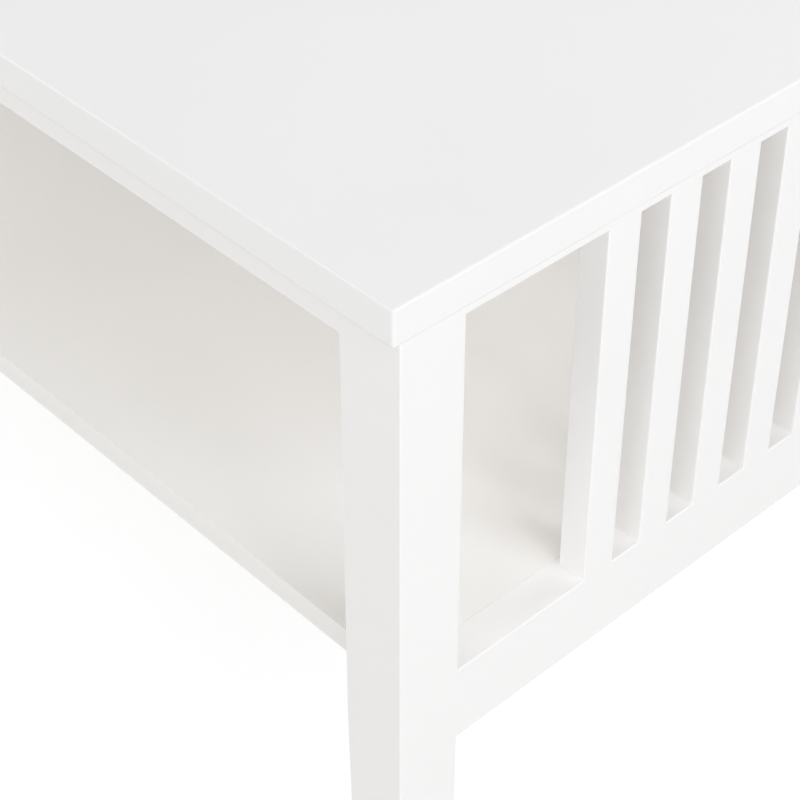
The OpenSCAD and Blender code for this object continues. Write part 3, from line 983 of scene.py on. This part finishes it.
class TABLE_OT_cams(Operator):
    """Makes the cam bolts and the cam nuts that draw the long rails to the legs"""
    bl_idname = "table.make_cams"
    bl_label = "Cam fittings"

    def execute(self, context):
        _, fittings, finish = props(context)
        bolts = [self.bolt(box, fittings) for box in solids_of("cam_bolts")]
        hand_over(add_mesh("cam_bolts_threaded", bolts), plated_steel(finish), "cam_bolts")
        nuts = solids_of("cam_nuts")
        piece = add_mesh("cam_nuts_cast", [self.nut(box, fittings) for box in nuts])
        combine(piece, [self.head_slot(box, fittings) for box in nuts], "DIFFERENCE")
        hand_over(piece, cast_zinc(finish), "cam_nuts")
        return {"FINISHED"}

    def bolt(self, box, fittings):
        """Bolt whose thread points outwards along X: thread, collar, stem, neck and head."""
        steps = fittings.round_steps
        length = box[1][X] - box[0][X]
        radius = middle_radius(box, X)
        outward = 1 if box.mean(axis=0)[X] > 0 else -1
        threaded, slope, rim = 0.011, 0.0003, 0.0004
        pitch, neck = fittings.thread_pitch, fittings.neck_radius
        threads = np.arange(-length, -length + threaded, pitch / RINGS_PER_TURN)
        ridge = radius - fittings.thread_depth * (1 - thread(threads, full_turn(steps), pitch))
        head = fittings.head_length
        stem = 3 * head
        heights = [threads[-1] + slope, -stem, -stem + slope, -head - slope, -head, -rim, 0]
        radii = [radius, radius, neck, neck, radius, radius, radius - rim]
        rings = np.concatenate([ridge, np.array(radii)[:, None] * np.ones(steps)])
        shape = turned(np.concatenate([threads, heights]), rings, steps)
        tip = box[0][X] if outward > 0 else box[1][X]
        return stood(shape, middle_at(box, X, tip), X, -outward)

    def nut(self, box, fittings):
        """Drum with a chamfered rim, from its inner end down to its open face."""
        height = box[1][Z] - box[0][Z]
        radius = (box[1][Y] - box[0][Y]) / 2
        rim = 0.0004
        heights = [0, rim, height - rim, height]
        radii = [radius - rim, radius, radius, radius - rim]
        shape = turned(heights, radii, fittings.round_steps * 2)
        return stood(shape, middle_at(box, Z, box[0][Z]), Z, 1)

    def head_slot(self, box, fittings):
        """Slot in the drum's side for the head of the bolt that is nearest."""
        middle = box.mean(axis=0)
        bolts = solids_of("cam_bolts")
        bolt = bolts[np.argmin(np.abs(bolts.mean(axis=1) - middle).sum(axis=1))]
        room = 2 * fittings.clearance
        low, high = bolt[0] - room, bolt[1] + room
        if middle[X] > 0:
            high[X] = box[1][X] + room
        else:
            low[X] = box[0][X] - room
        return block(low, high, X, room, 1)


class TABLE_OT_glides(Operator):
    """Makes the plastic glides with their pins"""
    bl_idname = "table.make_glides"
    bl_label = "Glides"

    def execute(self, context):
        _, fittings, finish = props(context)
        material = glide_plastic(finish)
        for node in GLIDES:
            box = box_of(node)
            radius = middle_radius(box, Z)
            height, pin = fittings.glide_height, fittings.pin_radius
            dish, dish_edge, rim, rings = 0.0002, 0.001, 0.0003, 7
            soft = height / 2
            turn = np.linspace(0, math.pi / 2, rings)
            heights = np.concatenate([
                [dish, 0], soft * (1 - np.cos(turn)), [height - rim, height, height],
                [box[1][Z] - pin, box[1][Z]],
            ])
            radii = np.concatenate([
                [radius / 2, radius / 2 + dish_edge], radius - soft + soft * np.sin(turn),
                [radius, radius - rim, pin], [pin, pin / 4],
            ])
            shape = turned(heights, radii, fittings.round_steps * 2)
            shell = stood(shape, middle_at(box, Z, 0), Z, 1)
            hand_over(add_mesh(node + "_moulded", [shell]), material, node)
        return {"FINISHED"}


class TABLE_OT_stage(Operator):
    """Sets up the floor, the light and the camera"""
    bl_idname = "table.make_stage"
    bl_label = "Stage"

    def execute(self, context):
        stage = context.scene.table_stage
        self.floor(stage)
        self.world(context, stage)
        for name, (heading, height, colour) in LAMPS.items():
            self.lamp(name, math.radians(heading), math.radians(height), colour, stage)
        camera = add_object("camera", bpy.data.cameras.new("camera"))
        camera.location = stage.camera_place
        camera.rotation_euler = (math.pi / 2 - stage.camera_pitch, 0, stage.camera_heading)
        camera.data.sensor_width = SENSOR_WIDTH
        camera.data.lens = stage.focal_length
        camera.data.shift_y = stage.camera_shift
        context.scene.camera = camera
        context.scene.view_settings.view_transform = "Standard"
        return {"FINISHED"}

    def floor(self, stage):
        """Round floor: P(u, v) = v * (cos u, sin u, 0), with its rings closer towards the table."""
        steps, rings, inner_share, drop = 64, 24, 0.02, 0.0002
        reach = stage.floor_radius * np.linspace(inner_share, 1, rings) ** 2
        points = turned(np.full(rings, -drop), reach, steps).reshape(-1, 3)
        upward = ring_quads(rings, steps)[:, ::-1].tolist()
        mesh = bpy.data.meshes.new("floor")
        mesh.from_pydata(points, [], upward + [np.arange(steps).tolist()])
        floor = add_object("floor", mesh)
        floor.data.materials.append(self.floor_paint())

    def floor_paint(self):
        """Pale floor that looks white to the camera and to gloss, and keeps soft shadows."""
        material = bpy.data.materials.new("floor_paint")
        tree = empty_tree(material)
        bounce = add_node(tree, "ShaderNodeBsdfDiffuse", {"Color": FLOOR_BOUNCE})
        shade = add_node(tree, "ShaderNodeBsdfDiffuse", {"Color": FLOOR_SHADE})
        glow = add_node(tree, "ShaderNodeEmission", {"Color": WHITE, "Strength": FLOOR_GLOW})
        seen = add_node(tree, "ShaderNodeAddShader", {
            0: shade.outputs["BSDF"], 1: glow.outputs["Emission"]})
        mix = add_node(tree, "ShaderNodeMixShader", {
            0: seen_ray(tree), 1: bounce.outputs["BSDF"], 2: seen.outputs["Shader"]})
        add_node(tree, "ShaderNodeOutputMaterial", {"Surface": mix.outputs["Shader"]})
        return material

    def world(self, context, stage):
        """Even light all round, which looks white to the camera and to gloss."""
        world = bpy.data.worlds.new("studio")
        context.scene.world = world
        tree = empty_tree(world)
        light = add_node(tree, "ShaderNodeBackground", {
            "Color": WHITE, "Strength": stage.room_light})
        white = add_node(tree, "ShaderNodeBackground", {"Color": WHITE, "Strength": 1.0})
        mix = add_node(tree, "ShaderNodeMixShader", {
            0: seen_ray(tree), 1: light.outputs["Background"], 2: white.outputs["Background"]})
        add_node(tree, "ShaderNodeOutputWorld", {"Surface": mix.outputs["Shader"]})

    def lamp(self, name, heading, height, colour, stage):
        """Square lamp at a heading from the front and a height angle, facing the lamps' aim."""
        light = bpy.data.lights.new(name, "AREA")
        light.size = stage.lamp_size
        light.energy = getattr(stage, name + "_power")
        light.color = colour
        lamp = add_object(name, light)
        across = math.cos(height)
        back = Vector((math.sin(heading) * across, -math.cos(heading) * across, math.sin(height)))
        lamp.location = Vector(stage.lamp_aim) + stage.lamp_distance * back
        lamp.rotation_euler = back.to_track_quat("Z", "Y").to_euler()
        lamp.visible_camera = False


class TABLE_PT_parts(Panel):
    """Sidebar panel with the table's parts, sizes and finishes"""
    bl_idname = "TABLE_PT_parts"
    bl_label = "Coffee Table"
    bl_space_type = "VIEW_3D"
    bl_region_type = "UI"
    bl_category = "Table"

    def draw(self, context):
        """Shows a button for each operator, and every size and colour."""
        for operator in OPERATORS:
            self.layout.operator(operator.bl_idname)
        for name in ("table_boards", "table_fittings", "table_finish", "table_stage"):
            group = getattr(context.scene, name)
            column = self.layout.column(align=True)
            for key in group.__annotations__:
                column.prop(group, key)


OPERATORS = (
    TABLE_OT_top, TABLE_OT_legs, TABLE_OT_long_rails, TABLE_OT_end_frames, TABLE_OT_shelf,
    TABLE_OT_dowels, TABLE_OT_screws, TABLE_OT_cams, TABLE_OT_glides, TABLE_OT_stage,
)
GROUPS = {
    "table_boards": BoardProps, "table_fittings": FittingProps,
    "table_finish": FinishProps, "table_stage": StageProps,
}


def register():
    """Adds the sizes, operators and panel to Blender."""
    for group in GROUPS.values():
        bpy.utils.register_class(group)
    for name, group in GROUPS.items():
        setattr(bpy.types.Scene, name, PointerProperty(type=group))
    for operator in OPERATORS:
        bpy.utils.register_class(operator)
    bpy.utils.register_class(TABLE_PT_parts)


def unregister():
    """Takes the panel, operators and sizes out of Blender again."""
    bpy.utils.unregister_class(TABLE_PT_parts)
    for operator in reversed(OPERATORS):
        bpy.utils.unregister_class(operator)
    for name, group in GROUPS.items():
        delattr(bpy.types.Scene, name)
        bpy.utils.unregister_class(group)


def main():
    """Makes every piece and the stage."""
    register()
    for operator in OPERATORS:
        group, name = operator.bl_idname.split(".")
        getattr(getattr(bpy.ops, group), name)()


if __name__ == "__main__":
    main()
